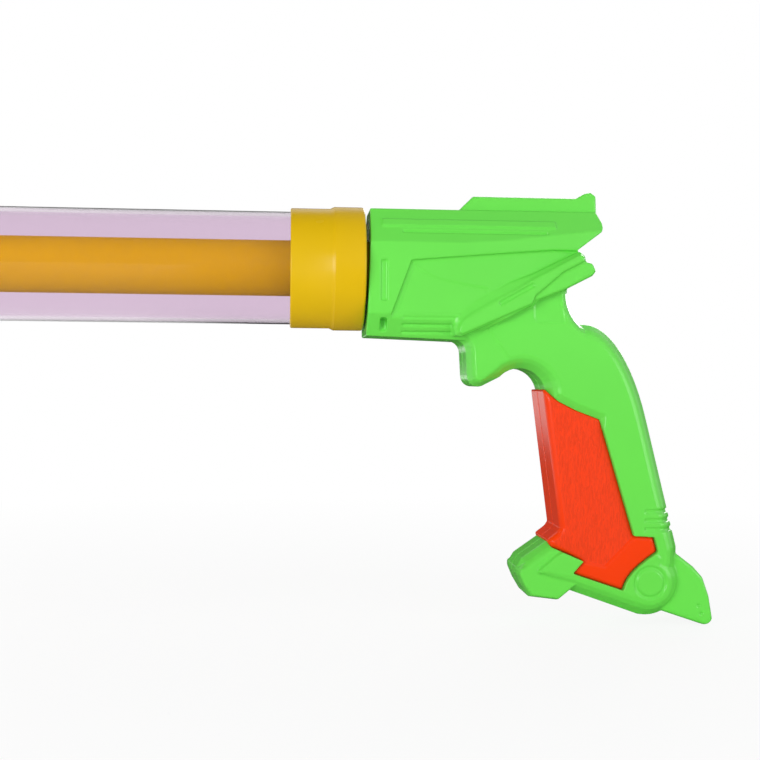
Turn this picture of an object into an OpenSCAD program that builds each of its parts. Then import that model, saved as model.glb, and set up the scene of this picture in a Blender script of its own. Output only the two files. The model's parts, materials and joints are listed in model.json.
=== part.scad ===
// Pull-and-push water squirter with a pistol-grip handle.
// A clear barrel is closed by a cap at each end. A hollow rod with a sealed piston slides in it, and two
// moulded shells with inlaid grips are clamped on the rod's rear end. The plunger is drawn pushed fully in.
// The origin is the nozzle mouth on the barrel axis, +X runs back to the handle and +Z is up.

/* [Barrel] */
// Outside diameter of the clear tube
tube_od = 40; // [36:1:46]
// Wall of the clear tube
tube_wall = 1.6; // [1:0.1:2.4]
// Length of the clear tube
tube_len = 320; // [240:5:400]

/* [Caps] */
// Wall of a cap's skirt
cap_wall = 1.2; // [1:0.1:3]
// Length of a cap from its open edge to its end face
cap_len = 26; // [20:1:36]
// Thickness of a cap's end wall
cap_end = 3; // [2:0.25:6]
// Extra radius of the band at a cap's closed end
cap_band = 0.7; // [0.2:0.1:1]
// Length of that band
cap_band_len = 12; // [8:1:16]
// Thickness of the gasket under the front cap's end wall
gasket_t = 2; // [1:0.25:4]

/* [Nozzle] */
// Diameter of the nozzle's bore
nozzle_d = 4; // [2:0.5:6]
// Outside diameter of the spout
spout_d = 10; // [8:0.5:14]
// Length of the spout in front of the nose
spout_len = 14; // [8:1:24]
// Length of the domed nose between spout and cap
nose_len = 8; // [5:0.5:14]

/* [Piston] */
// Length of the piston head in front of the rod
piston_len = 14; // [11:0.5:22]
// Thickness of the O-ring
seal_d = 4; // [3:0.25:5]
// Gap between piston and tube, on the radius
piston_gap = 0.5; // [0.3:0.1:0.8]
// Gap between the piston and the front cap when pushed in
piston_rest = 2; // [1:0.5:6]

/* [Rod] */
// Outside diameter of the rod
rod_od = 20; // [17:0.5:22]
// Wall of the rod
rod_wall = 1.8; // [1.2:0.1:2.5]
// Length of rod held inside the handle
rod_grip = 40; // [30:1:44]
// Length of the spigots glued into the rod's ends
spigot_len = 15; // [10:1:24]
// Thickness of the tail plug's flange
flange_t = 3.2; // [2:0.2:5]
// How far that flange stands out past the rod, on the radius
flange_lip = 2.6; // [1.5:0.1:3.2]

/* [Housing] */
// Gap between the rear cap and the handle when pushed in
handle_gap = 0.5; // [0.4:0.1:4]
// How far the housing's front leans forward at its bottom edge
front_rake = 1.3; // [0:0.1:2]
// Length of the upper housing
housing_len = 82.2; // [76:0.2:96]
// Width of the upper housing
housing_w = 37; // [34:0.5:42]
// Height of the housing's flat top over the axis
housing_top = 20.8; // [19:0.2:24]
// Depth of the housing's bottom edge under the axis, at its front
housing_low = 24.2; // [22:0.2:25]
// Width of the flat top
top_w = 18; // [14:0.5:22]
// Height of the top rail over the flat top
rail_h = 5.2; // [3:0.2:7]
// Width of the top rail
rail_w = 15; // [10:0.5:18]
// Height of the rear sight over the rail
sight_h = 2.3; // [1.5:0.1:4]
// Depth of the dished side panel
panel_depth = 1.2; // [0.6:0.1:1.6]
// Extra depth of the dish in the side panel
dish_depth = 0.25; // [0.1:0.05:0.5]
// How far the diagonal fin stands out past the housing's side
fin_rise = 0.4; // [0.2:0.1:1.5]
// Depth of the grooves and slots moulded into the sides
groove_depth = 0.7; // [0.4:0.1:1]
// Wall of the shells round the hollow spaces
shell_wall = 2.4; // [1.8:0.1:3]

/* [Frame and grip] */
// Width of the frame, from side to side
frame_w = 28; // [26:0.5:32]
// Length of the grip from under the frame to the butt's disc
grip_len = 59.2; // [54:0.2:72]
// Rake of the grip
grip_rake = 14; // [11:0.5:17]
// Width of the bevel along the back of the grip
back_bevel = 4.4; // [2:0.2:5]
// Thickness of the inlaid grips
grip_t = 2.5; // [2:0.1:3]
// How far the inlays lie below the frame's side
grip_sink = 2; // [1:0.1:2.6]
// How far the smooth belt stands out of the inlay
belt_rise = 0.7; // [0.3:0.1:1]
// Depth of the grooves across the back of the grip
back_groove = 0.55; // [0.3:0.05:0.8]

/* [Butt] */
// Width of the butt's band, from side to side
butt_w = 28.6; // [28.2:0.2:34]
// Width of the toe, from side to side
toe_w = 25.8; // [25:0.2:28]
// Width of the heel plate, from side to side
heel_w = 21; // [17:0.5:24]
// Diameter of the round boss
boss_d = 24.8; // [22:0.2:26]
// Diameter of the disc inside the boss's ring groove
disc_d = 9; // [7:0.2:10]
// Width of the ring groove
ring_w = 1.6; // [0.9:0.1:2]

/* [Screws] */
// Diameter of the screws' shanks
screw_d = 3; // [2.5:0.1:3.5]
// Diameter of the screws' heads
head_d = 5.6; // [5:0.1:7]
// Height of the screws' heads
head_h = 2.2; // [1.5:0.1:3]
// Depth of the screws' seats from the parting plane
screw_seat = 5; // [4:0.5:6.5]
// Length of thread in the left shell
screw_bite = 8; // [6:0.5:8.5]

/* [Clearances] */
// Glued joint, on the radius
glue_gap = 0.1; // [0.05:0.05:0.2]
// Rod in the rear cap's guide hole, on the radius
guide_gap = 0.3; // [0.2:0.1:0.6]
// O-ring to tube and groove, on the radius
seal_gap = 0.1; // [0.05:0.05:0.2]
// Moulded pieces that lie against each other
fit_gap = 0.15; // [0.1:0.05:0.3]

/* [Hidden] */
$fn = 96;

GREEN = [0.37, 0.86, 0.30];
ORANGE = [0.98, 0.25, 0.04];
YELLOW = [0.92, 0.72, 0.05];
AMBER = [0.86, 0.62, 0.10];
CLEAR = [0.85, 0.76, 0.84, 0.35];
RUBBER = [0.08, 0.08, 0.09];
STEEL = [0.70, 0.71, 0.73];

// Barrel
tube_r = tube_od / 2;
tube_ir = tube_r - tube_wall;
nose_x = spout_len;
cap_front_x = nose_x + nose_len;
chamber_x = cap_front_x + cap_end;
tube_x0 = chamber_x + gasket_t;
tube_x1 = tube_x0 + tube_len;
cap_rear_x = tube_x1 + cap_end;
cap_r = tube_r + glue_gap + cap_wall;

// Plunger
rod_r = rod_od / 2;
rod_ir = rod_r - rod_wall;
spigot_r = rod_ir - glue_gap;
piston_r = tube_ir - piston_gap;
piston_x = chamber_x + piston_rest;
rod_x0 = piston_x + piston_len;
seal_r = seal_d / 2;
seal_ring_r = tube_ir - seal_gap - seal_r;
seal_x = piston_x + piston_len / 2;
flange_r = rod_r + flange_lip;

// Handle
front_x = cap_rear_x + handle_gap + front_rake;
rod_x1 = front_x + rod_grip;
housing_hw = housing_w / 2;
frame_hw = frame_w / 2;
grip_hw = frame_hw - grip_sink;
core_hw = grip_hw - grip_t;

// How far cuts and their outlines run on past the handle
REACH = 60;

// The handle's side view has x from the housing's front and z over the barrel axis.
// Points near the rear are placed from the housing's tail.
function from_tail(p) = [housing_len + p.x, p.y];

// The butt is placed from the centre of its disc, at the lower end of the grip
grip_top = from_tail([3.6, -53]);
butt_c = grip_top + grip_len * [sin(grip_rake), -cos(grip_rake)];
function from_butt(p) = butt_c + p;

// Arc of n steps round c
function arc(c, r, a0, a1, n) =
    [for (i = [0:n]) let (a = a0 + (a1 - a0) * i / n) c + r * [cos(a), sin(a)]];

// Curve of n steps from a to d, drawn towards b and c
function curve(a, b, c, d, n) =
    [for (i = [0:n]) let (t = i / n, s = 1 - t)
        s * s * s * a + 3 * s * s * t * b + 3 * s * t * t * c + t * t * t * d];

// Inward normal of the edge from a to b of an outline that runs counter-clockwise
function inward(a, b) = let (d = b - a) [-d.y, d.x] / norm(d);

// Outline drawn in by its own bevel at each point, times share; a point is [x, z, bevel]
function drawn_in(pts, share) =
    let (n = len(pts))
    [for (i = [0:n - 1])
        let (p = [pts[i].x, pts[i].y],
             a = [pts[(i + n - 1) % n].x, pts[(i + n - 1) % n].y],
             b = [pts[(i + 1) % n].x, pts[(i + 1) % n].y],
             n1 = inward(a, p),
             n2 = inward(p, b))
        p + share * pts[i].z * (n1 + n2) / (1 + n1 * n2)];

// The same bevel for every point of a list
function bevelled(pts, bevel) = [for (p = pts) [p.x, p.y, bevel]];

// Solid over an outline, drawn in step by step towards its outer face; a step is [height, share of the bevel]
module moulding(pts, steps) {
    n = len(pts);
    m = len(steps);
    points = [for (s = steps) for (p = drawn_in(pts, s.y)) [p.x, p.y, s.x]];
    walls = [for (j = [0:m - 2]) for (i = [0:n - 1])
        let (a = j * n + i, b = j * n + (i + 1) % n)
        each [[a, a + n, b], [b, a + n, b + n]]];
    base = [for (i = [0:n - 1]) i];
    top = [for (i = [n - 1:-1:0]) (m - 1) * n + i];
    polyhedron(points = points, faces = concat([base, top], walls));
}

// Steps of a moulding of half width hw whose edge is rounded over its last depth
function rounded(hw, depth) =
    [[-1, 0], [hw - depth, 0], [hw - 0.5 * depth, 0.2], [hw - 0.15 * depth, 0.6], [hw, 1]];

// Steps of a moulding of half width hw with a wide, soft bevel
function soft_edge(hw) = [[-1, 0], [0.6 * hw, 0], [0.86 * hw, 0.5], [0.96 * hw, 0.82], [hw, 1.15]];

// Everything on the far side of the parting plane
module past_parting() {
    translate([-REACH, -3 * REACH, -REACH]) cube([4 * REACH, 4 * REACH, REACH]);
}

// Children drawn up from z = 0 are turned to run along +X from x
module along_x(x) {
    translate([x, 0, 0]) rotate([0, 90, 0]) children();
}

// Children drawn in the side view, with height outwards, are stood up on one side of the parting plane
module left_side() {
    translate([front_x, 0, 0]) rotate([90, 0, 0]) children();
}
module right_side() {
    mirror([0, 1, 0]) left_side() children();
}

// Prism of an outline in the end view, given as [z, height], in side view coordinates
module end_prism(x0, x1) {
    translate([x0, 0, 0]) rotate([90, 0, 90]) linear_extrude(x1 - x0) children();
}

// Prism of an outline in the plan view, given as [x, height], in side view coordinates
module plan_prism() {
    translate([0, REACH, 0]) rotate([90, 0, 0]) linear_extrude(2 * REACH) children();
}

// Barrel

module barrel_tube() {
    color(CLEAR) along_x(tube_x0) difference() {
        cylinder(r = tube_r, h = tube_len);
        translate([0, 0, -1]) cylinder(r = tube_ir, h = tube_len + 2);
    }
}

// Outside of a cap from its open edge at 0 to its closed end at cap_len, as [radius, place]
cap_edge = 0.8;
cap_outside = [
    [cap_r - cap_edge / 2, 0], [cap_r, cap_edge],
    [cap_r, cap_len - cap_band_len], [cap_r + cap_band, cap_len - cap_band_len + 2 * cap_band]];

module front_cap() {
    nozzle_r = nozzle_d / 2;
    spout_r = spout_d / 2;
    band_r = cap_r + cap_band;
    inner_r = tube_r + glue_gap;
    funnel_x = nose_x + nozzle_r;
    spout = [[nozzle_r, 0], [spout_r - cap_edge, 0], [spout_r, cap_edge]];
    nose = [for (i = [0:6]) let (a = 15 * i)
        [spout_r + (band_r - spout_r) * sin(a), nose_x + nose_len * (1 - cos(a))]];
    skirt = [for (i = [3:-1:0]) [cap_outside[i].x, cap_front_x + cap_len - cap_outside[i].y]];
    inside = [
        [inner_r, cap_front_x + cap_len], [inner_r, chamber_x], [piston_r, chamber_x], [nozzle_r, funnel_x]];
    color(YELLOW) along_x(0) rotate_extrude() polygon(concat(spout, nose, skirt, inside));
}

module front_gasket() {
    color(RUBBER) along_x(chamber_x) difference() {
        cylinder(r = tube_r, h = gasket_t);
        translate([0, 0, -1]) cylinder(r = tube_ir, h = gasket_t + 2);
    }
}

module rear_cap() {
    band_r = cap_r + cap_band;
    inner_r = tube_r + glue_gap;
    hole_r = rod_r + guide_gap;
    rim = [[band_r, cap_len - cap_edge], [band_r - cap_edge, cap_len]];
    inside = [[hole_r, cap_len], [hole_r, cap_len - cap_end], [inner_r, cap_len - cap_end], [inner_r, 0]];
    color(YELLOW) along_x(cap_rear_x - cap_len) rotate_extrude() polygon(concat(cap_outside, rim, inside));
}

// Plunger

module piston_head() {
    groove_r = seal_ring_r - seal_r - seal_gap;
    groove_hw = seal_r + seal_gap;
    mid = piston_len / 2;
    tip = piston_len + spigot_len;
    body = [[0, 0], [piston_r - cap_edge, 0], [piston_r, cap_edge],
            [piston_r, mid - groove_hw], [groove_r, mid - groove_hw],
            [groove_r, mid + groove_hw], [piston_r, mid + groove_hw], [piston_r, piston_len]];
    spigot = [[spigot_r, piston_len], [spigot_r, tip - cap_edge], [spigot_r - cap_edge, tip], [0, tip]];
    color(YELLOW) along_x(piston_x) rotate_extrude() polygon(concat(body, spigot));
}

module piston_seal() {
    color(RUBBER) along_x(seal_x) rotate_extrude() translate([seal_ring_r, 0]) circle(r = seal_r);
}

module plunger_rod() {
    color(AMBER) along_x(rod_x0) difference() {
        cylinder(r = rod_r, h = rod_x1 - rod_x0);
        translate([0, 0, -1]) cylinder(r = rod_ir, h = rod_x1 - rod_x0 + 2);
    }
}

module rod_tail_plug() {
    color(AMBER) along_x(rod_x1 - spigot_len) {
        cylinder(r = spigot_r, h = spigot_len);
        translate([0, 0, spigot_len]) cylinder(r = flange_r, h = flange_t);
    }
}

// Upper housing

ridge_z = 8.1;
low_ridge_z = -16.6;
low_hw = 11.5;
housing_drop = 1.2;
bottom_z = -housing_low - housing_drop;
tail_hw = housing_hw - 4.2;

// Bevels of the housing in the end view, as height per z
upper_slope = (housing_hw - top_w / 2) / (housing_top - ridge_z);
lower_slope = (housing_hw - low_hw) / (low_ridge_z - bottom_z);

// The housing's end view, as [z, height], on both sides of the parting plane, with its bevels drawn on
upper_end = [
    [housing_top + 2, top_w / 2 - 2 * upper_slope], [ridge_z, housing_hw], [low_ridge_z, housing_hw],
    [bottom_z - 2, low_hw - 2 * lower_slope]];
function both_sides(pts) = concat(pts, [for (i = [len(pts) - 1:-1:0]) [pts[i].x, -pts[i].y]]);
end_outline = both_sides(upper_end);

// The housing's side view, with its tail drawn out to the rear over the diagonal fin
housing_side = [
    [0, housing_top], [-front_rake, -housing_low], from_tail([-49, bottom_z]), from_tail([-24, -12]),
    from_tail([-9.6, 6.4]), from_tail([-0.6, 13.2]), from_tail([0, 14.6]), from_tail([0, 16.8]),
    from_tail([-1.4, housing_top])];

// Line of the housing's side in the plan view, drawn in by inset; it narrows to the tail
function side_line(inset) = [
    [-front_rake - 1, housing_hw - inset], from_tail([-50, housing_hw - inset]),
    from_tail([-34, housing_hw - 0.9 - inset]), from_tail([0, tail_hw - inset]),
    from_tail([1, tail_hw - inset])];

module housing_block() {
    intersection() {
        translate([0, 0, -2]) linear_extrude(REACH) polygon(housing_side);
        end_prism(-front_rake - 2, housing_len + 2) polygon(end_outline);
        plan_prism() polygon(concat([[-front_rake - 1, -1]], side_line(0), [from_tail([1, -1])]));
    }
}

// Side panel, sunk by the same depth all along the narrowing side, with a shallow dish in its lower part
panel_side = [
    [13.9, 1.9], [7.1, low_ridge_z], [7.1, low_ridge_z - 4],
    from_tail([-44, low_ridge_z - 4]), from_tail([-8, 0]), from_tail([-8, 6.3]), from_tail([-17.8, 6.4])];
dish_side = concat(
    curve([15.2, 1], [20, -4.2], [26, -5], [36, -6.6], 8),
    [[41, -7.4], [41, low_ridge_z], [8.6, low_ridge_z]]);

module sunk_panel(outline, depth) {
    intersection() {
        linear_extrude(REACH) polygon(outline);
        plan_prism() polygon(concat([[-front_rake - 1, REACH]], side_line(depth), [from_tail([1, REACH])]));
    }
}

module side_panel() {
    sunk_panel(panel_side, panel_depth);
    sunk_panel(dish_side, panel_depth + dish_depth);
}

module top_rail() {
    rail_z = housing_top + rail_h;
    outline = [
        from_tail([-52.2, housing_top - 1.5]), from_tail([-0.7, housing_top - 1.5]),
        from_tail([-1, rail_z + 0.4 * sight_h]), from_tail([-2.9, rail_z + sight_h]),
        from_tail([-5.1, rail_z + 0.8 * sight_h]), from_tail([-8.2, rail_z]), from_tail([-45.4, rail_z])];
    moulding(bevelled(outline, 0.5), rounded(rail_w / 2, 1));
}

// Bevel between the flat top and the side, as a place to put ribs and grooves, with y down the slope
module on_upper_bevel(x) {
    translate([x, housing_top, top_w / 2]) rotate([-atan(upper_slope), 0, 0]) mirror([0, 1, 0]) children();
}

module upper_rib() {
    rib_x = 4;
    rib_w = 3.2;
    down = 5.4;
    tail = 17;
    on_upper_bevel(rib_x) translate([0, down, -1])
        cube([housing_len - tail - rib_x, rib_w, 1 + groove_depth]);
}

module upper_groove() {
    groove_x = 11;
    groove_w = 1.2;
    down = 10.2;
    tail = 20;
    on_upper_bevel(groove_x) translate([0, down, -groove_depth])
        cube([housing_len - tail - groove_x, groove_w, REACH]);
}

// Slot, square recess and row of grooves on the front of the side
module front_marks() {
    mark_x = 3.3;
    mark_w = 2.4;
    slot_z = -12.2;
    slot_h = 14.1;
    recess_z = -22.6;
    recess_h = 4.6;
    groove_x = 10.9;
    groove_len = 19.6;
    groove_w = 1;
    function on_bevel(z) = housing_hw + (z - low_ridge_z) * lower_slope - groove_depth;
    translate([mark_x, slot_z, housing_hw - groove_depth]) cube([mark_w, slot_h, REACH]);
    translate([mark_x, recess_z, on_bevel(recess_z)]) cube([mark_w, recess_h, REACH]);
    for (z = [-18.4, -20.9, -23.4])
        translate([groove_x, z, on_bevel(z + groove_w / 2)]) cube([groove_len, groove_w, REACH]);
}

// Diagonal fins under the tail, the upper one with a wide cove where it rises out of the side panel
function tail_points(pts, bevel) = bevelled([for (p = pts) from_tail(p)], bevel);
cove_w = 4.4;
fin_upper = concat(
    tail_points([[-50.6, -24.4], [-25.5, -13.2], [-24.3, -10.3], [-14.9, -2.2]], 0.9),
    tail_points([[-6.4, 1.9], [-7, 4.6], [-9.1, 6.2]], 1.3),
    tail_points([[-26, -1.9]], 2.3),
    tail_points([[-33.9, -4.4], [-43.5, -9.6], [-50, -13.4]], cove_w),
    tail_points([[-53.4, -17.2]], 3.6),
    tail_points([[-54, -21]], 2.8),
    tail_points([[-53, -24.2]], 1.8));
fin_lower = tail_points([[-27.4, -12.8], [-13.9, -7.4], [-4.4, -2.5], [-3.2, -0.8], [-4.5, 1.9], [-9, 2.9],
                         [-17.4, -0.6], [-27, -8.6]], 0.7);

module fins() {
    fin_hw = housing_hw + fin_rise;
    panel_hw = housing_hw - panel_depth;
    cove = [
        [-1, 0], [panel_hw - 3.8, 0], [panel_hw - 0.4, 0.22], [panel_hw + 0.1, 0.52], [panel_hw + 0.6, 0.78],
        [fin_hw - 0.35, 0.93], [fin_hw, 1.08]];
    slot = from_tail([-37.2, -13.6]);
    slot_rise = 30;
    slot_len = 14;
    slot_w = 1.5;
    difference() {
        moulding(fin_upper, cove);
        translate([slot.x, slot.y, fin_hw - groove_depth]) rotate([0, 0, slot_rise])
            cube([slot_len, slot_w, REACH]);
    }
    moulding(fin_lower, rounded(fin_hw - 1.2, 1.5));
}

// Frame with trigger, grip core and back

trigger_c = from_tail([-43.4, -37.8]);
trigger_r = 3.9;
notch_c = from_tail([-28.5, -44.5]);
notch_r = 9.5;
neck_c = from_tail([3, -8.5]);
neck_r = 14.6;
front_top = from_tail([-20, -42.6]);
front_low = from_butt([-31.5, 18.9]);
front_toe = from_butt([-31.2, 9.6]);
back_top = from_tail([17.7, -53.2]);
back_low = from_butt([11.1, 11.9]);
edge_bevel = 2.8;
notch_bevel = 4.2;
neck_bevel = 2.8;

frame_outline = concat(
    bevelled([from_tail([-52.2, low_ridge_z])], 0),
    bevelled(arc(from_tail([-52.2, -29.5]), 4.4, 90, 0, 5), edge_bevel),
    bevelled(arc(trigger_c, trigger_r, 183, 305, 8), edge_bevel),
    bevelled(arc(notch_c, notch_r, 138, 12, 10), notch_bevel),
    bevelled([front_low, front_toe], edge_bevel),
    bevelled([from_butt([-29, 3]), from_butt([2.1, -1.6])], 0),
    bevelled([from_butt([10.8, 4.4]), back_low], back_bevel),
    bevelled(
        curve(back_top, from_tail([12.9, -33.5]), from_tail([4.2, -18.9]), from_tail([-5.5, -19.2]), 12),
        back_bevel),
    bevelled(arc(neck_c, neck_r, 226, 172, 7), neck_bevel),
    bevelled([from_tail([-14, 0]), from_tail([-34, -8])], 0));
frame_flat = [for (p = frame_outline) [p.x, p.y]];

module frame_block() {
    moulding(frame_outline, soft_edge(frame_hw));
}

// The fixed trigger is a little thinner than the frame behind it, with a slanting crease between them
trigger_step = 0.35;
module trigger_relief() {
    crease_top = from_tail([-41, -20.7]);
    crease_low = from_tail([-30.4, -34.8]);
    translate([0, 0, frame_hw - trigger_step]) linear_extrude(REACH)
        polygon([crease_top, [-REACH, crease_top.y], [-REACH, -REACH], [crease_low.x, -REACH], crease_low]);
}

// Shallow pocket in the frame under the fins
pocket_depth = 0.3;
module frame_pocket() {
    translate([0, 0, frame_hw - pocket_depth]) linear_extrude(REACH)
        polygon([from_tail([-24.6, -8]), from_tail([-24.4, -17.4]), from_tail([-23.3, -19]),
                 from_tail([-13.2, -19.3]), from_tail([-14.8, -10]), from_tail([-14.8, -6])]);
}

// Three grooves across the back of the grip, which run on over the bevels to the sides
module back_grooves() {
    groove_w = 1.5;
    difference() {
        for (rise = [18.7, 21.9, 25.1])
            translate([butt_c.x - 2, butt_c.y + rise - groove_w / 2, -2]) cube([20, groove_w, REACH]);
        translate([-back_groove, 0, -back_groove]) frame_block();
    }
}

// Butt

function butt_points(pts, bevel) = bevelled([for (p = pts) from_butt(p)], bevel);

module toe() {
    outline = concat(
        butt_points([[-33.4, 16], [-45, 7.9]], 3),
        butt_points([[-46.9, 4.6], [-46.9, 2.6], [-45.3, -1.2]], 0.7),
        butt_points([[-42.6, -5.7], [-32.2, -7], [-28, -3.6]], 1.3),
        butt_points([[-24, 1], [-18, 1], [-18, 8]], 0));
    moulding(outline, soft_edge(toe_w / 2));
}

module butt_band() {
    outline = concat(
        butt_points([[-34.8, 9.6]], 1),
        butt_points([[-40.9, 4.8], [-40.9, 3.2]], 1.2),
        butt_points([[-39.2, 0.8]], 3.4),
        butt_points([[-28.5, -3.2], [-2.5, -12.3]], 5.2),
        butt_points([[-1, -6], [3, 0], [4, 9], [-6, 16.6], [-24, 10.8], [-31.6, 11.2]], 0.4));
    moulding(outline, soft_edge(butt_w / 2));
}

boss_hw = butt_w / 2 + 0.15;
boss_bevel = 5.4;
module butt_boss() {
    edge = [for (step = soft_edge(boss_hw)) [boss_d / 2 - step.y * boss_bevel, step.x]];
    translate([butt_c.x, butt_c.y, 0]) rotate_extrude() polygon(concat([[0, -1]], edge, [[0, boss_hw]]));
}

// Ring groove round the disc, with sloping walls, cut through what the boss, band and frame share there
module ring_groove() {
    mid = disc_d / 2 + ring_w / 2;
    floor_hw = 0.2 * ring_w;
    lift = 0.5;
    mouth_hw = floor_hw + (ring_w / 2 - floor_hw) * (groove_depth + lift) / groove_depth;
    translate([butt_c.x, butt_c.y, boss_hw]) rotate_extrude()
        polygon([[mid - floor_hw, -groove_depth], [mid + floor_hw, -groove_depth], [mid + mouth_hw, lift],
                 [mid - mouth_hw, lift]]);
}

module heel() {
    tip_c = [21.5, -13.1];
    tip_r = 2.9;
    hole_r = 0.6;
    outline = [for (p = concat(
            [[3, -9], [6.2, -11.1]], arc(tip_c, tip_r, 250, 345, 4),
            [[22.9, -5.5], [20.6, 1], [17.2, 4.8], [11.2, 9.4], [4, 8]])) from_butt(p)];
    difference() {
        moulding(bevelled(outline, 0.9), rounded(heel_w / 2, 1.4));
        for (p = [[19, -8.9], [20, -11.8]])
            translate([butt_c.x + p.x, butt_c.y + p.y, heel_w / 2 - groove_depth])
                cylinder(r = hole_r, h = REACH, $fn = 16);
    }
}

// Inlaid grip

belt_arc = curve(
    from_butt([-9.6, -2.7]), from_butt([-9.03, 1.47]), from_butt([-4.93, 5.97]), from_butt([2.7, 10.8]), 6);
belt_lower = concat([from_butt([-23.7, 7.6]), from_butt([-27.5, 3.3])], belt_arc, [from_butt([1.4, 15.8])]);
window_top = from_tail([-0.5, -53.1]);
window_edge = [from_tail([-9, -49.9]), from_tail([-15.2, -46.8])];
window_low = from_butt([-5.9, 16.2]);

// Corners of the inlay and of its smooth belt, with the front strap's edge rounded
inlay_toe = [from_butt([-32.6, 17.2]), from_butt([-36, 14.6]), from_butt([-35, 12.4])];
inlay_outline = concat(
    bevelled(concat([front_top, front_low], inlay_toe), 1.5),
    bevelled(concat(belt_lower, [window_low, window_top], window_edge), 0.2));
inlay_flat = [for (p = inlay_outline) [p.x, p.y]];
belt_outline = concat([from_butt([-16, 5.9])], belt_lower, [window_low]);

// What the shell's core fills behind the front strap and under the inlay
module core_outline(gap) {
    polygon([
        front_top + [grip_t + gap, REACH], front_top + [grip_t + gap, 0], front_low + [grip_t + gap, 0],
        front_low + [grip_t + gap, -REACH], front_low + [REACH, -REACH], front_top + [REACH, REACH]]);
}

module grip() {
    belt_hw = grip_hw + belt_rise;
    difference() {
        resize([0, 0, belt_hw]) difference() {
            union() {
                moulding(inlay_outline, rounded(grip_hw, 2));
                moulding(bevelled(belt_outline, 0.8),
                         [[core_hw + 1, 0.5], [belt_hw - 0.4, 0.5], [belt_hw, 1]]);
            }
            past_parting();
        }
        translate([0, 0, -2]) linear_extrude(core_hw + 2) core_outline(0);
    }
}

// Room for the inlay in a shell
module grip_room() {
    difference() {
        translate([0, 0, -1]) linear_extrude(REACH) offset(delta = fit_gap) polygon(inlay_flat);
        translate([0, 0, -2]) linear_extrude(core_hw + 2) core_outline(fit_gap);
    }
}

// Bevel of the frame over the inlay's upper edge, which runs out down its rear edge
window_bevel = 3.2;
module window_flare() {
    rise = (front_top - window_edge[1]) / norm(front_top - window_edge[1]);
    down = (window_low - window_top) / norm(window_low - window_top);
    fore = front_top + 6 * rise;
    outline = concat(
        bevelled([fore + 8 * down, window_top + 8 * down + 2 * rise, window_top + 6 * down], 0),
        bevelled(concat([window_top], window_edge, [fore]), -window_bevel));
    moulding(outline, [[grip_hw + 0.2, 0], [frame_hw + 0.4, 1], [frame_hw + 1, 1]]);
}

// Shells

// Places of the screws and of the two locating pins, in the side view
bore_r = head_d / 2 + fit_gap;
boss_wall = 0.7;
screw_places = [
    [15.2, -(rod_r + fit_gap + boss_wall + bore_r)],
    from_tail([-12, 13.8]),
    from_tail([-24, -26]),
    back_top + [-8.7, -6.8],
    from_butt([-38.9, 1])];
pin_places = [from_tail([-42.6, -33.5]), from_butt([-13.9, 5])];
pin_r = 1.8;
pin_len = 3.5;

// Hollow round the rod, in bays between ribs, and the hollow of the grip's core
module shell_hollow() {
    boss_r = bore_r + shell_wall / 2;
    bay_x0 = shell_wall;
    bay_x1 = rod_grip - shell_wall;
    bay_mid = (bay_x0 + bay_x1) / 2;
    inset = shell_wall + panel_depth;
    bay_end = [
        [housing_top - inset, top_w / 2 - 1.5], [ridge_z + 1, housing_hw - inset],
        [low_ridge_z + 1, housing_hw - inset], [-housing_low + shell_wall, low_hw - inset]];
    core = [
        front_top + [grip_t + 2 * shell_wall, -9], front_low + [grip_t + shell_wall, 0],
        back_low + [-2 * shell_wall, 4], back_top + [-2 * shell_wall, 0]];
    difference() {
        union() {
            for (bay = [[bay_x0, bay_mid - shell_wall / 2], [bay_mid + shell_wall / 2, bay_x1]])
                end_prism(bay.x, bay.y) polygon(both_sides(bay_end));
            translate([0, 0, -1]) linear_extrude(core_hw - shell_wall + 1) polygon(core);
        }
        for (p = screw_places)
            translate([p.x, p.y, -2]) cylinder(r = boss_r, h = REACH);
    }
}

// Room for the rod and for the flange of its tail plug
module rod_room() {
    along_x(-front_rake - 1) cylinder(r = rod_r + fit_gap, h = rod_grip + front_rake + 1);
    along_x(rod_grip - fit_gap) cylinder(r = flange_r + fit_gap, h = flange_t + 2 * fit_gap);
}

// Outside of a shell as one moulded form, brought to its full half width
module shell_skin() {
    resize([0, 0, max(housing_hw + fin_rise, boss_hw)]) difference() {
        union() {
            difference() {
                housing_block();
                side_panel();
                upper_groove();
                front_marks();
            }
            upper_rib();
            top_rail();
            fins();
            difference() {
                frame_block();
                trigger_relief();
                frame_pocket();
                back_grooves();
            }
            toe();
            butt_band();
            butt_boss();
            heel();
        }
        past_parting();
        window_flare();
        ring_groove();
    }
}

module shell_body() {
    difference() {
        shell_skin();
        grip_room();
        shell_hollow();
        rod_room();
    }
}

module left_shell() {
    color(GREEN) left_side() {
        difference() {
            shell_body();
            for (p = screw_places)
                translate([p.x, p.y, -1]) cylinder(d = screw_d + glue_gap, h = screw_bite + 2);
        }
        for (p = pin_places)
            translate([p.x, p.y, -pin_len]) cylinder(r = pin_r, h = pin_len + 1);
    }
}

module right_shell() {
    color(GREEN) right_side() difference() {
        shell_body();
        for (p = screw_places) {
            translate([p.x, p.y, -1]) cylinder(d = screw_d + 2 * fit_gap, h = screw_seat + 2);
            translate([p.x, p.y, screw_seat]) cylinder(r = bore_r, h = REACH);
        }
        for (p = pin_places)
            translate([p.x, p.y, -1]) cylinder(r = pin_r + fit_gap, h = pin_len + fit_gap + 1);
    }
}

module left_grip() {
    color(ORANGE) left_side() grip();
}

module right_grip() {
    color(ORANGE) right_side() grip();
}

module shell_screws() {
    point = 2;
    shank = screw_seat + screw_bite;
    color(STEEL) right_side() for (p = screw_places)
        translate([p.x, p.y, screw_seat]) {
            cylinder(d = head_d, h = head_h);
            translate([0, 0, point - shank]) cylinder(d = screw_d, h = shank - point);
            translate([0, 0, -shank]) cylinder(d1 = screw_d / 3, d2 = screw_d, h = point);
        }
}

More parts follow.
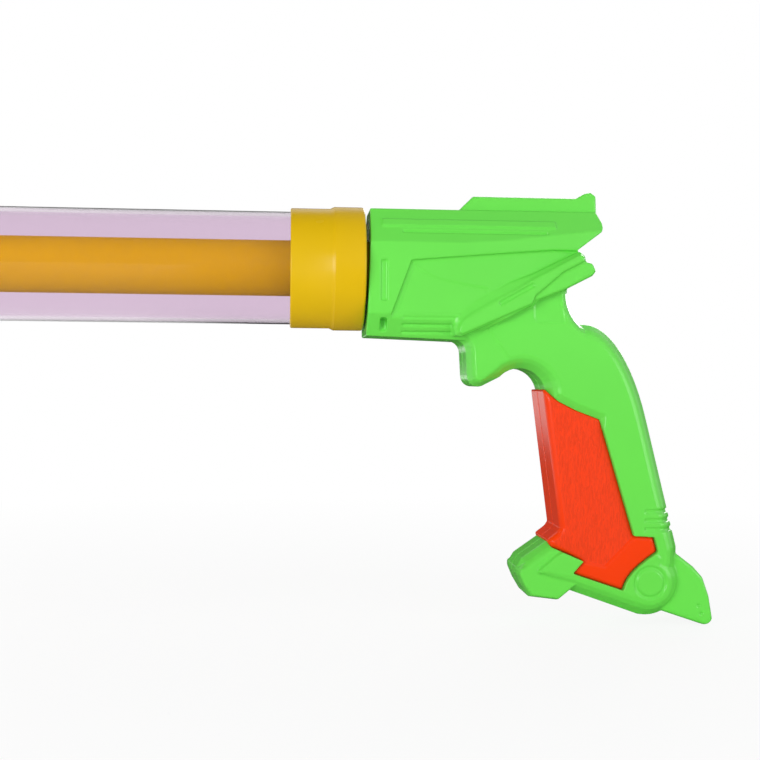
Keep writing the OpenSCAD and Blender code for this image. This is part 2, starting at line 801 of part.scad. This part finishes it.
barrel_tube();
front_cap();
front_gasket();
rear_cap();
piston_head();
piston_seal();
plunger_rod();
rod_tail_plug();
left_shell();
right_shell();
left_grip();
right_grip();
shell_screws();
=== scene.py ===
"""Looks of a pull-and-push water squirter with a moulded pistol-grip handle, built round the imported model."""
import json
import math

import bmesh
import bpy
from mathutils import Matrix, Vector

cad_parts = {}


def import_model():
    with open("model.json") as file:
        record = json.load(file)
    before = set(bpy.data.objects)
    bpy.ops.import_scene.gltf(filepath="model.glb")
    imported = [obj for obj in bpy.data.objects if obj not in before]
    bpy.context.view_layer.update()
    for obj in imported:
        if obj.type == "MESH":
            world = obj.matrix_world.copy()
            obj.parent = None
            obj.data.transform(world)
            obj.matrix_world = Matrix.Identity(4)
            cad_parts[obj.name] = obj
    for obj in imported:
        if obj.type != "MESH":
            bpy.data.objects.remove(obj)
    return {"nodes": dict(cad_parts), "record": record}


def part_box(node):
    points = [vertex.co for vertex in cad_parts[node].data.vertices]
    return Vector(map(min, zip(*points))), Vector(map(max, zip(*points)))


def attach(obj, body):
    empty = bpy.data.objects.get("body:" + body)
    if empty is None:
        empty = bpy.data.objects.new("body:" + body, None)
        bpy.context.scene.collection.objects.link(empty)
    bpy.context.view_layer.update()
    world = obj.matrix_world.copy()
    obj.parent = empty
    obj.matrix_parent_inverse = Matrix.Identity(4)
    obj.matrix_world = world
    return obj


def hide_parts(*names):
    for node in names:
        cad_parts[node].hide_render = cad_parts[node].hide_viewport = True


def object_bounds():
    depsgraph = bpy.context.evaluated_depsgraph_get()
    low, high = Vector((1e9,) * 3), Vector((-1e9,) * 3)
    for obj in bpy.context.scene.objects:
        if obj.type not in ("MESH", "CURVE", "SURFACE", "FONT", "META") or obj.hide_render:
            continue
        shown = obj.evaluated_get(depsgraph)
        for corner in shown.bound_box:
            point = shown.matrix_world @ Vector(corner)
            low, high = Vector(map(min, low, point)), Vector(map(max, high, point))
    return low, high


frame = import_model()
cad_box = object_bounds()

MM = 0.001
TINY = 1e-7

# Sizes of the turned pieces and the screws, which their boxes don't give
TUBE_WALL = 1.6 * MM
ROD_WALL = 1.8 * MM
GUIDE_GAP = 0.3 * MM
CAP_WALL = 1.2 * MM
CAP_BAND = 0.7 * MM
CAP_BAND_LEN = 12 * MM
CAP_END = 3 * MM
NOZZLE_R = 2 * MM
SPOUT_R = 5 * MM
SPOUT_LEN = 14 * MM
NOSE_LEN = 8 * MM
PISTON_LEN = 14 * MM
SPIGOT_GAP = 0.1 * MM
SEAL_R = 2 * MM
SEAL_GAP = 0.1 * MM
SCREW_R = 1.5 * MM
SCREW_POINT = 2 * MM
HEAD_R = 2.8 * MM
HEAD_H = 2.2 * MM
RECESS_LEN = 3.4 * MM
RECESS_WIDTH = 0.8 * MM
RECESS_DEPTH = 1.2 * MM

# Rounds on their corners
CRISP_ROUND = 0.2 * MM
CUT_ROUND = 0.3 * MM
MOUTH_ROUND = 0.4 * MM
SOFT_ROUND = 0.5 * MM
LIP_ROUND = 0.7 * MM
END_ROUND = 0.8 * MM
SPOUT_ROOT = 0.9 * MM
CAP_ROUND = 1.0 * MM
HEAD_ROUND = 1.1 * MM

# Steps of the full turns and of the arcs, and the angle from which an edge stays sharp
LATHE_STEPS = 192
SCREW_STEPS = 48
CORNER_STEPS = 5
SEAL_STEPS = 24
NOSE_STEPS = 12
SHARP_ANGLE = math.radians(50)

# How far each screw's recess is turned from the one before it
SCREW_TURN = math.radians(37)

# Level from the parting plane below which the inlay has its grain, and the depth in which the grain fades
BELT_LEVEL = 12.7 * MM
GRAIN_FADE = 0.1 * MM

# The grain's rake, and its scale along the fibres
GRAIN_RAKE = math.radians(19)
GRAIN_LENGTHWISE = 0.18

# How squarely a face looks sideways, from where the grain starts to where it is full
GRAIN_FACING = (0.93, 0.985)

# Values of the pattern between which the grain darkens, and the inlay's roughness without and with grain
GRAIN_CONTRAST = (0.40, 0.62)
GRAIN_ROUGHNESS = (0.20, 0.5)

# Colours, in linear light
GREEN = (0.150, 0.750, 0.082)
ORANGE = (0.950, 0.050, 0.003)
YELLOW = (0.730, 0.460, 0.003)
AMBER = (0.660, 0.400, 0.003)
LILAC = (0.821, 0.718, 0.814)
PALE_LILAC = (0.930, 0.890, 0.930)
TUBE_GLOSS = (0.400, 0.400, 0.400)
RUBBER = (0.020, 0.020, 0.022)
ZINC = (0.520, 0.530, 0.550)

# Patterns in the materials, in blotches to the metre
FLOW_MARKS = 24
GLOSS_PATCHES = 90
SKIN_WAVES = 150
TUBE_LINES = 600
RUBBER_DUST = 700
DRAW_LINES = 900
GRAIN_FIBRES = 1700
STEEL_GRAIN = 1800

# Where most of a pattern's values lie
PATTERN = (0.3, 0.7)

# How far the plastics' colour, as a share, and their roughness go up and down with the patterns
MOTTLE = 0.03
UNEVENNESS = 0.03


# Materials

class Shader:
    """A material with a Principled shader, and short ways to add nodes to it."""

    def __init__(self, name):
        self.material = bpy.data.materials.new(name)
        self.material.use_nodes = True
        self.tree = self.material.node_tree
        self.principled = self.tree.nodes["Principled BSDF"]
        self.place = self.add("ShaderNodeTexCoord").outputs["Object"]

    def add(self, kind, **settings):
        node = self.tree.nodes.new(kind)
        for key, value in settings.items():
            setattr(node, key, value)
        return node

    def link(self, output, socket):
        self.tree.links.new(output, socket)

    def put(self, node, **values):
        """Sets sockets by name, with _ for a space: a number or colour is set, an output is linked."""
        for key, value in values.items():
            socket = node.inputs[key.replace("_", " ")]
            if isinstance(value, bpy.types.NodeSocket):
                self.link(value, socket)
            elif isinstance(value, tuple) and socket.type == "RGBA":
                socket.default_value = (*value, 1)
            else:
                socket.default_value = value

    def noise(self, scale, detail, stretch=(1, 1, 1)):
        """Cloudy pattern with a given number of blotches to the metre."""
        mapping = self.add("ShaderNodeMapping")
        self.put(mapping, Vector=self.place, Scale=stretch)
        texture = self.add("ShaderNodeTexNoise")
        self.put(texture, Vector=mapping.outputs[0], Scale=scale, Detail=detail)
        return texture.outputs["Fac"]

    def ramp(self, value, low, high, start, end):
        """Maps a value from low..high to start..end, and no further."""
        node = self.add("ShaderNodeMapRange")
        self.put(node, Value=value, From_Min=low, From_Max=high, To_Min=start, To_Max=end)
        return node.outputs["Result"]

    def math(self, operation, a, b=0.0):
        node = self.add("ShaderNodeMath", operation=operation)
        for socket, value in zip(node.inputs, (a, b)):
            if isinstance(value, bpy.types.NodeSocket):
                self.link(value, socket)
            else:
                socket.default_value = value
        return node.outputs[0]

    def mix(self, share, a, b):
        """Colour from a to b."""
        node = self.add("ShaderNodeMix", data_type="RGBA")
        self.link(share, node.inputs["Factor"])
        node.inputs[6].default_value = (*a, 1)
        node.inputs[7].default_value = (*b, 1)
        return node.outputs[2]

    def bump(self, height, depth, strength):
        node = self.add("ShaderNodeBump")
        self.put(node, Height=height, Distance=depth, Strength=strength)
        return node.outputs["Normal"]


def shade(colour, factor):
    return tuple(min(1.0, channel * factor) for channel in colour)


def plain_plastic(name, colour, roughness, specular):
    """Plastic with slight flow marks in the colour, and a soft unevenness of the gloss."""
    s = Shader(name)
    flow = s.noise(FLOW_MARKS, 3, stretch=(0.5, 1, 1))
    tint = s.mix(s.ramp(flow, *PATTERN, 0, 1), shade(colour, 1 - MOTTLE), shade(colour, 1 + MOTTLE))
    s.put(s.principled, Base_Color=tint, Specular_IOR_Level=specular)
    uneven = s.ramp(s.noise(GLOSS_PATCHES, 2), *PATTERN, roughness - UNEVENNESS, roughness + UNEVENNESS)
    s.put(s.principled, Roughness=uneven)
    return s


def moulded_plastic(name, colour, roughness, specular):
    """Injection-moulded plastic, with a faintly wavy skin."""
    s = plain_plastic(name, colour, roughness, specular)
    s.put(s.principled, Normal=s.bump(s.noise(SKIN_WAVES, 2), depth=0.02 * MM, strength=0.3))
    return s.material


def green_plastic():
    return moulded_plastic("green_plastic", GREEN, roughness=0.20, specular=0.30)


def yellow_plastic():
    return moulded_plastic("yellow_plastic", YELLOW, roughness=0.25, specular=0.22)


def rod_plastic():
    """Extruded rod, with faint draw lines along it."""
    s = plain_plastic("amber_plastic", AMBER, roughness=0.65, specular=0.08)
    lines = s.noise(DRAW_LINES, 2, stretch=(0.01, 1, 1))
    s.put(s.principled, Normal=s.bump(lines, depth=0.02 * MM, strength=0.4))
    return s.material


def orange_plastic():
    """Gloss plastic with a wavy grain along the inlay's flat sides, and none on its belt and front strap."""
    s = Shader("orange_plastic")
    mapping = s.add("ShaderNodeMapping", vector_type="POINT")
    s.put(mapping, Vector=s.place, Rotation=(0, -GRAIN_RAKE, 0), Scale=(1, 1, GRAIN_LENGTHWISE))
    fibres = s.add("ShaderNodeTexNoise")
    s.put(fibres, Vector=mapping.outputs[0], Scale=GRAIN_FIBRES, Detail=2, Distortion=1.2)
    split = s.add("ShaderNodeSeparateXYZ")
    s.put(split, Vector=s.place)
    facing = s.add("ShaderNodeSeparateXYZ")
    s.put(facing, Vector=s.add("ShaderNodeNewGeometry").outputs["Normal"])
    flat = s.ramp(s.math("ABSOLUTE", facing.outputs["Y"]), *GRAIN_FACING, 0, 1)
    below = s.ramp(s.math("ABSOLUTE", split.outputs["Y"]), BELT_LEVEL - GRAIN_FADE, BELT_LEVEL, 1, 0)
    mask = s.math("MULTIPLY", flat, below)
    grain = s.math("MULTIPLY", s.ramp(fibres.outputs["Fac"], *GRAIN_CONTRAST, 0, 1), mask)
    tint = s.mix(grain, ORANGE, shade(ORANGE, 0.86))
    s.put(s.principled, Base_Color=tint, Specular_IOR_Level=0.20)
    s.put(s.principled, Roughness=s.ramp(mask, 0, 1, *GRAIN_ROUGHNESS))
    s.put(s.principled, Normal=s.bump(grain, depth=0.07 * MM, strength=0.6))
    return s.material


def clear_plastic():
    """Clear tinted tube that lets the lamps through."""
    s = Shader("clear_plastic")
    s.put(s.principled, Base_Color=LILAC, Transmission_Weight=1.0, IOR=1.49, Specular_Tint=TUBE_GLOSS)
    lines = s.noise(TUBE_LINES, 3, stretch=(0.02, 1, 1))
    s.put(s.principled, Roughness=s.ramp(lines, 0.35, 0.75, 0.0, 0.07))
    through = s.add("ShaderNodeBsdfTransparent")
    s.put(through, Color=PALE_LILAC)
    choice = s.add("ShaderNodeMixShader")
    s.link(s.add("ShaderNodeLightPath").outputs["Is Shadow Ray"], choice.inputs[0])
    s.link(s.principled.outputs[0], choice.inputs[1])
    s.link(through.outputs[0], choice.inputs[2])
    s.link(choice.outputs[0], s.tree.nodes["Material Output"].inputs["Surface"])
    return s.material


def black_rubber():
    s = Shader("black_rubber")
    dust = s.noise(RUBBER_DUST, 4)
    s.put(s.principled, Base_Color=s.mix(s.ramp(dust, 0.4, 0.8, 0, 1), RUBBER, shade(RUBBER, 2.2)))
    s.put(s.principled, Roughness=s.ramp(dust, *PATTERN, 0.55, 0.8))
    s.put(s.principled, Normal=s.bump(dust, depth=0.03 * MM, strength=0.5))
    return s.material


def screw_steel():
    s = Shader("screw_steel")
    grain = s.noise(STEEL_GRAIN, 3)
    s.put(s.principled, Base_Color=s.mix(s.ramp(grain, *PATTERN, 0, 1), shade(ZINC, 0.9), ZINC))
    s.put(s.principled, Metallic=1.0, Roughness=s.ramp(grain, *PATTERN, 0.28, 0.45))
    return s.material


MATERIALS = {
    "green_plastic": green_plastic(),
    "orange_plastic": orange_plastic(),
    "yellow_plastic": yellow_plastic(),
    "amber_plastic": rod_plastic(),
    "clear_plastic": clear_plastic(),
    "black_rubber": black_rubber(),
    "screw_steel": screw_steel(),
}
SLOT_OF = {part["node"]: part["material_slot"] for part in frame["record"]["subparts"]}
BODY_OF = {node: body for body, nodes in frame["record"]["behaviour"]["bodies"].items() for node in nodes}


def finish_with(piece, slot):
    piece.data.materials.clear()
    piece.data.materials.append(MATERIALS[slot])


def stand_for(piece, node):
    """Puts a piece in the place of a node: the same body and the material of the node's slot, with the node
    hidden.
    """
    finish_with(piece, SLOT_OF[node])
    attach(piece, BODY_OF[node])
    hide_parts(node)


# Meshes

def new_object(name, mesh):
    piece = bpy.data.objects.new(name, mesh)
    bpy.context.scene.collection.objects.link(piece)
    return piece


def rounded_profile(corners):
    """Closed outline from corners [x, radius, fillet], each rounded by a curve of its fillet's size."""
    points = []
    for i, (x, r, fillet) in enumerate(corners):
        corner = Vector((x, r))
        if fillet == 0:
            points.append(corner)
            continue
        before = (Vector(corners[i - 1][:2]) - corner).normalized()
        after = (Vector(corners[(i + 1) % len(corners)][:2]) - corner).normalized()
        half = before.angle(after) / 2
        reach = fillet / math.tan(half)
        start = corner + before * reach
        end = corner + after * reach
        for k in range(CORNER_STEPS + 1):
            t = k / CORNER_STEPS
            points.append((1 - t) ** 2 * start + 2 * t * (1 - t) * corner + t * t * end)
    return points


def lathe(name, corners, steps=LATHE_STEPS):
    """Solid of revolution round the X axis, from a closed outline."""
    profile = rounded_profile(corners)
    mesh = bpy.data.meshes.new(name)
    built = bmesh.new()
    on_axis = [point.y < TINY for point in profile]
    rings = []
    for k in range(steps):
        angle = 2 * math.pi * k / steps
        turn = (math.cos(angle), math.sin(angle))
        ring = []
        for i, point in enumerate(profile):
            if on_axis[i] and k > 0:
                ring.append(rings[0][i])
            else:
                ring.append(built.verts.new((point.x, point.y * turn[0], point.y * turn[1])))
        rings.append(ring)
    count = len(profile)
    for k, ring in enumerate(rings):
        following = rings[(k + 1) % steps]
        for i in range(count):
            j = (i + 1) % count
            corners_of_face = []
            for vertex in (ring[i], ring[j], following[j], following[i]):
                if vertex not in corners_of_face:
                    corners_of_face.append(vertex)
            if len(corners_of_face) > 2:
                built.faces.new(corners_of_face)
    bmesh.ops.recalc_face_normals(built, faces=built.faces)
    built.to_mesh(mesh)
    built.free()
    piece = new_object(name, mesh)
    mesh.shade_smooth()
    mesh.set_sharp_from_angle(angle=SHARP_ANGLE)
    return piece


def apply_modifiers(piece):
    bpy.context.view_layer.objects.active = piece
    for modifier in list(piece.modifiers):
        bpy.ops.object.modifier_apply(modifier=modifier.name)


def welded(node):
    """Copy of a node's mesh in which the faces share their points."""
    copy = bmesh.new()
    copy.from_mesh(frame["nodes"][node].data)
    bmesh.ops.remove_doubles(copy, verts=copy.verts, dist=TINY)
    return copy


# Voxel of the moulded pieces, how often they are smoothed, and the share of faces that stays
VOXEL = 0.28 * MM
SMOOTHINGS = 11
KEPT_FACES = 0.22

# How much a smoothing moves a point, how much less at the parting seam, and how far from the seam that ends
SMOOTH_FACTOR = 0.5
SEAM_SHARE = 0.25
SEAM_DEPTH = 0.8 * MM


def moulded_copy(node, name, swell):
    """Copy of a node with its edges softened as a moulding has them, but little along the parting seam.

    It can swell a little, to close the gap round an inlay.
    """
    mesh = bpy.data.meshes.new(name)
    solid = welded(node)
    solid.to_mesh(mesh)
    solid.free()
    piece = new_object(name, mesh)
    remesh = piece.modifiers.new("voxels", "REMESH")
    remesh.mode = "VOXEL"
    remesh.voxel_size = VOXEL
    apply_modifiers(piece)
    group = piece.vertex_groups.new(name="softened")
    levels = {}
    for vertex in piece.data.vertices:
        weight = min(1.0, SEAM_SHARE + abs(vertex.co.y) / SEAM_DEPTH)
        levels.setdefault(round(weight, 1), []).append(vertex.index)
    for weight, indices in levels.items():
        group.add(indices, weight, "REPLACE")
    smooth = piece.modifiers.new("softening", "SMOOTH")
    smooth.factor = SMOOTH_FACTOR
    smooth.iterations = SMOOTHINGS
    smooth.vertex_group = group.name
    if swell > 0:
        wider = piece.modifiers.new("swelling", "DISPLACE")
        wider.mid_level = 0
        wider.strength = swell
    fewer = piece.modifiers.new("fewer_faces", "DECIMATE")
    fewer.ratio = KEPT_FACES
    apply_modifiers(piece)
    piece.vertex_groups.clear()
    piece.data.shade_smooth()
    return piece


# Moulded pieces of the handle

# How much each copy swells
GRIP_SWELL = 0.34 * MM
SWELL = {"left_shell": 0.0, "right_shell": 0.0, "left_grip": GRIP_SWELL, "right_grip": GRIP_SWELL}
for cad_node, swell in SWELL.items():
    stand_for(moulded_copy(cad_node, cad_node + "_moulded", swell), cad_node)


# Turned pieces

def reach_of(node):
    """First and last place along X, and the radius, of a turned node."""
    low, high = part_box(node)
    return low.x, high.x, high.y


tube_x0, tube_x1, tube_r = reach_of("barrel_tube")
tube_ir = tube_r - TUBE_WALL
stand_for(lathe("tube", [
    (tube_x0, tube_r, CUT_ROUND), (tube_x1, tube_r, CUT_ROUND),
    (tube_x1, tube_ir, CUT_ROUND), (tube_x0, tube_ir, CUT_ROUND)]), "barrel_tube")

rod_x0, rod_x1, rod_r = reach_of("plunger_rod")
rod_ir = rod_r - ROD_WALL
stand_for(lathe("rod", [
    (rod_x0, rod_r, CUT_ROUND), (rod_x1, rod_r, CUT_ROUND),
    (rod_x1, rod_ir, CUT_ROUND), (rod_x0, rod_ir, CUT_ROUND)]), "plunger_rod")

cap_x0, cap_x1, band_r = reach_of("rear_cap")
cap_r = band_r - CAP_BAND
skirt_ir = cap_r - CAP_WALL
guide_r = rod_r + GUIDE_GAP
band_x = cap_x1 - CAP_BAND_LEN
stand_for(lathe("rear_cap_moulded", [
    (cap_x0, cap_r, LIP_ROUND), (band_x, cap_r, 0), (band_x + 2 * CAP_BAND, band_r, CRISP_ROUND),
    (cap_x1, band_r, CAP_ROUND), (cap_x1, guide_r, SOFT_ROUND), (cap_x1 - CAP_END, guide_r, CUT_ROUND),
    (cap_x1 - CAP_END, skirt_ir, 0), (cap_x0, skirt_ir, CUT_ROUND)]), "rear_cap")

piston_x0, piston_x1, piston_r = reach_of("piston_head")
spigot_r = rod_ir - SPIGOT_GAP
seal_x = piston_x0 + PISTON_LEN / 2
seal_ring_r = tube_ir - SEAL_GAP - SEAL_R
groove_r = seal_ring_r - SEAL_R - SEAL_GAP
groove_hw = SEAL_R + SEAL_GAP
stand_for(lathe("piston_moulded", [
    (piston_x0, 0, 0), (piston_x0, piston_r, END_ROUND), (seal_x - groove_hw, piston_r, CRISP_ROUND),
    (seal_x - groove_hw, groove_r, CUT_ROUND), (seal_x + groove_hw, groove_r, CUT_ROUND),
    (seal_x + groove_hw, piston_r, CRISP_ROUND), (rod_x0, piston_r, SOFT_ROUND), (rod_x0, spigot_r, 0),
    (piston_x1, spigot_r, END_ROUND), (piston_x1, 0, 0)]), "piston_head")

seal_turns = [2 * math.pi * k / SEAL_STEPS for k in range(SEAL_STEPS)]
stand_for(lathe("o_ring", [
    (seal_x + SEAL_R * math.cos(turn), seal_ring_r + SEAL_R * math.sin(turn), 0) for turn in seal_turns]),
    "piston_seal")

nozzle_x, skirt_x, nose_r = reach_of("front_cap")
nose_x = nozzle_x + SPOUT_LEN
front_x = nose_x + NOSE_LEN
chamber_x = front_x + CAP_END
nose_turns = [math.pi / 2 * k / NOSE_STEPS for k in range(1, NOSE_STEPS + 1)]
nose = [
    (nose_x + NOSE_LEN * (1 - math.cos(turn)), SPOUT_R + (nose_r - SPOUT_R) * math.sin(turn), 0)
    for turn in nose_turns]
stand_for(lathe("front_cap_moulded", [
    (nozzle_x, NOZZLE_R, MOUTH_ROUND), (nozzle_x, SPOUT_R, END_ROUND), (nose_x, SPOUT_R, SPOUT_ROOT), *nose,
    (front_x + CAP_BAND_LEN - 2 * CAP_BAND, nose_r, CRISP_ROUND), (front_x + CAP_BAND_LEN, cap_r, 0),
    (skirt_x, cap_r, LIP_ROUND), (skirt_x, skirt_ir, CUT_ROUND), (chamber_x, skirt_ir, 0),
    (chamber_x, piston_r, 0), (nose_x + NOZZLE_R, NOZZLE_R, 0)]), "front_cap")


# Screws

def box(name, size):
    mesh = bpy.data.meshes.new(name)
    built = bmesh.new()
    bmesh.ops.create_cube(built, size=1)
    bmesh.ops.scale(built, vec=size, verts=built.verts)
    built.to_mesh(mesh)
    built.free()
    return new_object(name, mesh)


def cross_head_screw(length):
    """Mesh of a self-tapping screw along +X, with its head's seat at 0 and a cross recess in the head."""
    screw = lathe("screw", [
        (-length, 0, 0), (-length, SCREW_R / 3, 0), (SCREW_POINT - length, SCREW_R, 0), (0, SCREW_R, 0),
        (0, HEAD_R, CRISP_ROUND), (HEAD_H, HEAD_R, HEAD_ROUND), (HEAD_H, 0, 0)], SCREW_STEPS)
    for arm in ((RECESS_LEN, RECESS_WIDTH), (RECESS_WIDTH, RECESS_LEN)):
        cutter = box("recess", (2 * RECESS_DEPTH, *arm))
        cutter.location.x = HEAD_H
        cut = screw.modifiers.new("recess", "BOOLEAN")
        cut.operation = "DIFFERENCE"
        cut.object = cutter
        apply_modifiers(screw)
        bpy.data.objects.remove(cutter)
    mesh = screw.data
    bpy.data.objects.remove(screw)
    return mesh


def islands(solid):
    """Boxes of the separate bodies of a mesh, as lowest and highest corner."""
    left = set(solid.verts)
    found = []
    while left:
        queue = [left.pop()]
        body = []
        while queue:
            vertex = queue.pop()
            body.append(vertex.co)
            for edge in vertex.link_edges:
                other = edge.other_vert(vertex)
                if other in left:
                    left.remove(other)
                    queue.append(other)
        low = Vector([min(point[axis] for point in body) for axis in range(3)])
        high = Vector([max(point[axis] for point in body) for axis in range(3)])
        found.append((low, high))
    return sorted(found, key=lambda pair: pair[0].x)


cad_screws = welded("shell_screws")
screw_boxes = islands(cad_screws)
cad_screws.free()
screw_mesh = cross_head_screw(screw_boxes[0][1].y - HEAD_H - screw_boxes[0][0].y)
all_screws = bmesh.new()
for number, (low, high) in enumerate(screw_boxes):
    seat = Vector(((low.x + high.x) / 2, high.y - HEAD_H, (low.z + high.z) / 2))
    before = len(all_screws.verts)
    all_screws.from_mesh(screw_mesh)
    all_screws.verts.ensure_lookup_table()
    stand = Matrix.Translation(seat) @ Matrix.Rotation(math.pi / 2, 4, "Z")
    stand = stand @ Matrix.Rotation(SCREW_TURN * number, 4, "X")
    bmesh.ops.transform(all_screws, matrix=stand, verts=all_screws.verts[before:])
screws_mesh = bpy.data.meshes.new("screws")
all_screws.to_mesh(screws_mesh)
all_screws.free()
stand_for(new_object("screws", screws_mesh), "shell_screws")

# Nodes that stay as they are
for cad_node in ("front_gasket", "rod_tail_plug"):
    finish_with(frame["nodes"][cad_node], SLOT_OF[cad_node])


# Stage

# The floor's size, its distance under the object and its colour
FLOOR_SIZE = 12.0
FLOOR_GAP = 0.2 * MM
PAPER = (0.9, 0.9, 0.9, 1)

# Distances from under the target between which the shadow on the floor fades, and the share of glow in it
SHADOW_REACH = (0.1, 0.45)
SHADOW_WHITE = 0.9

# Brightness of the floor in the gloss, and the X between which the white floor at the left fades to it
MIRRORED_FLOOR = 0.03
WHITE_FLOOR = (0.25, 0.30)

# Directions in which gloss sees white walls: to the right but not far behind, and high up behind
RIGHT_FROM = (-0.05, 0.5)
RIGHT_TO = (0.5, 0.75)
HIGH_FROM = (0.36, 0.46)
BEHIND_FROM = (0.5, 0.7)

# Point under the housing's front end that the lamps and the camera face
TARGET = Vector((356.5, 0, -39.6)) * MM

# Place from the target, size and power of each lamp
LAMPS = {
    "key": ((-0.62, -0.78, 0.1), 0.45, 4.9),
    "fill": ((0.8, -0.65, 0.05), 0.5, 2.6),
    "back": ((0.45, 0.95, 0.35), 0.5, 3.5),
}

# The camera's distance from the target, its turn to the left, its roll, its lens and its sensor
CAMERA_DISTANCE = 417.3 * MM
CAMERA_YAW = math.radians(4.5)
CAMERA_ROLL = math.radians(0.5)
LENS = 55
SENSOR = 36


class Stage:
    """Node tree of the floor or the sky."""

    def __init__(self, tree):
        self.nodes = tree.nodes
        self.links = tree.links
        self.path = self.nodes.new("ShaderNodeLightPath")

    def highest(self, first, *others):
        """Highest of several outputs."""
        for other in others:
            node = self.nodes.new("ShaderNodeMath")
            node.operation = "MAXIMUM"
            self.links.new(first, node.inputs[0])
            self.links.new(other, node.inputs[1])
            first = node.outputs[0]
        return first

    def ramp(self, value, low, high, start, end):
        node = self.nodes.new("ShaderNodeMapRange")
        node.inputs["From Min"].default_value = low
        node.inputs["From Max"].default_value = high
        for socket, level in ((node.inputs["To Min"], start), (node.inputs["To Max"], end)):
            if isinstance(level, bpy.types.NodeSocket):
                self.links.new(level, socket)
            else:
                socket.default_value = level
        self.links.new(value, node.inputs["Value"])
        return node.outputs["Result"]


def floor(centre):
    """Pale floor that is white to the camera, with a faint shadow round the object.

    Gloss mirrors it white at the object's left, and dim elsewhere.
    """
    half = FLOOR_SIZE / 2
    z = cad_box[0][2] - FLOOR_GAP
    mesh = bpy.data.meshes.new("floor")
    corners = [(-half, -half, z), (half, -half, z), (half, half, z), (-half, half, z)]
    mesh.from_pydata(corners, [], [(0, 1, 2, 3)])
    plane = new_object("floor", mesh)
    material = bpy.data.materials.new("floor")
    material.use_nodes = True
    stage = Stage(material.node_tree)
    nodes = stage.nodes
    nodes.remove(nodes["Principled BSDF"])
    paper = nodes.new("ShaderNodeBsdfDiffuse")
    paper.inputs["Color"].default_value = PAPER
    glow = nodes.new("ShaderNodeEmission")
    apart = nodes.new("ShaderNodeVectorMath")
    apart.operation = "DISTANCE"
    apart.inputs[1].default_value = (centre.x, centre.y, z)
    place = nodes.new("ShaderNodeNewGeometry").outputs["Position"]
    stage.links.new(place, apart.inputs[0])
    straight = stage.highest(stage.path.outputs["Is Camera Ray"], stage.path.outputs["Is Transmission Ray"])
    seen = stage.highest(straight, stage.path.outputs["Is Glossy Ray"])
    split = nodes.new("ShaderNodeSeparateXYZ")
    stage.links.new(place, split.inputs[0])
    left = stage.ramp(split.outputs["X"], *WHITE_FLOOR, 1.0, MIRRORED_FLOOR)
    stage.links.new(stage.highest(straight, left), glow.inputs["Strength"])
    white = stage.ramp(apart.outputs["Value"], *SHADOW_REACH, SHADOW_WHITE, 1.0)
    choice = nodes.new("ShaderNodeMixShader")
    stage.links.new(stage.ramp(seen, 0, 1, 0.0, white), choice.inputs[0])
    stage.links.new(paper.outputs[0], choice.inputs[1])
    stage.links.new(glow.outputs[0], choice.inputs[2])
    stage.links.new(choice.outputs[0], nodes["Material Output"].inputs["Surface"])
    mesh.materials.append(material)


def world(sides, middle, room):
    """White sky, seen as such by the camera and through the tube.

    The soft light comes from both sides of the object more than from its ends and top. Gloss mirrors a white
    wall on the object's right and high behind it, and a dimmer room elsewhere.
    """
    sky = bpy.data.worlds.new("studio")
    bpy.context.scene.world = sky
    sky.use_nodes = True
    stage = Stage(sky.node_tree)
    background = stage.nodes["Background"]
    background.inputs["Color"].default_value = (1, 1, 1, 1)
    split = stage.nodes.new("ShaderNodeSeparateXYZ")
    stage.links.new(stage.nodes.new("ShaderNodeTexCoord").outputs["Generated"], split.inputs[0])
    across = stage.nodes.new("ShaderNodeMath")
    across.operation = "ABSOLUTE"
    stage.links.new(split.outputs["Y"], across.inputs[0])
    ambient = stage.ramp(across.outputs[0], 0, 1, middle, sides)
    right = stage.ramp(split.outputs["X"], *RIGHT_FROM, room, 1.0)
    beside = stage.ramp(split.outputs["Y"], *RIGHT_TO, right, room)
    high = stage.ramp(split.outputs["Z"], *HIGH_FROM, room, 1.0)
    behind = stage.ramp(split.outputs["Y"], *BEHIND_FROM, room, high)
    mirrored = stage.highest(beside, behind)
    level = stage.ramp(stage.path.outputs["Is Glossy Ray"], 0, 1, ambient, mirrored)
    strength = stage.highest(
        level, stage.path.outputs["Is Camera Ray"], stage.path.outputs["Is Transmission Ray"])
    stage.links.new(strength, background.inputs["Strength"])


def lamp(name, place, target, size, power):
    """Square lamp that faces a target."""
    light = bpy.data.lights.new(name, "AREA")
    light.shape = "SQUARE"
    light.size = size
    light.energy = power
    piece = bpy.data.objects.new(name, light)
    bpy.context.scene.collection.objects.link(piece)
    piece.location = place
    piece.rotation_euler = (target - place).to_track_quat("-Z", "Y").to_euler()


def camera(target, distance, yaw, roll):
    """Camera level with its target, in front of it and a little to its left."""
    view = bpy.data.cameras.new("camera")
    view.lens = LENS
    view.sensor_width = SENSOR
    piece = bpy.data.objects.new("camera", view)
    bpy.context.scene.collection.objects.link(piece)
    place = target + distance * Vector((-math.sin(yaw), -math.cos(yaw), 0))
    facing = (target - place).to_track_quat("-Z", "Y").to_matrix().to_4x4()
    piece.matrix_world = Matrix.Translation(place) @ facing @ Matrix.Rotation(roll, 4, "Z")
    bpy.context.scene.camera = piece


floor(TARGET)
world(sides=0.95, middle=0.1, room=0.06)
for lamp_name, (offset, size, power) in LAMPS.items():
    lamp(lamp_name, TARGET + Vector(offset), TARGET, size, power)
camera(TARGET, CAMERA_DISTANCE, CAMERA_YAW, CAMERA_ROLL)

bpy.context.scene.view_settings.view_transform = "Standard"
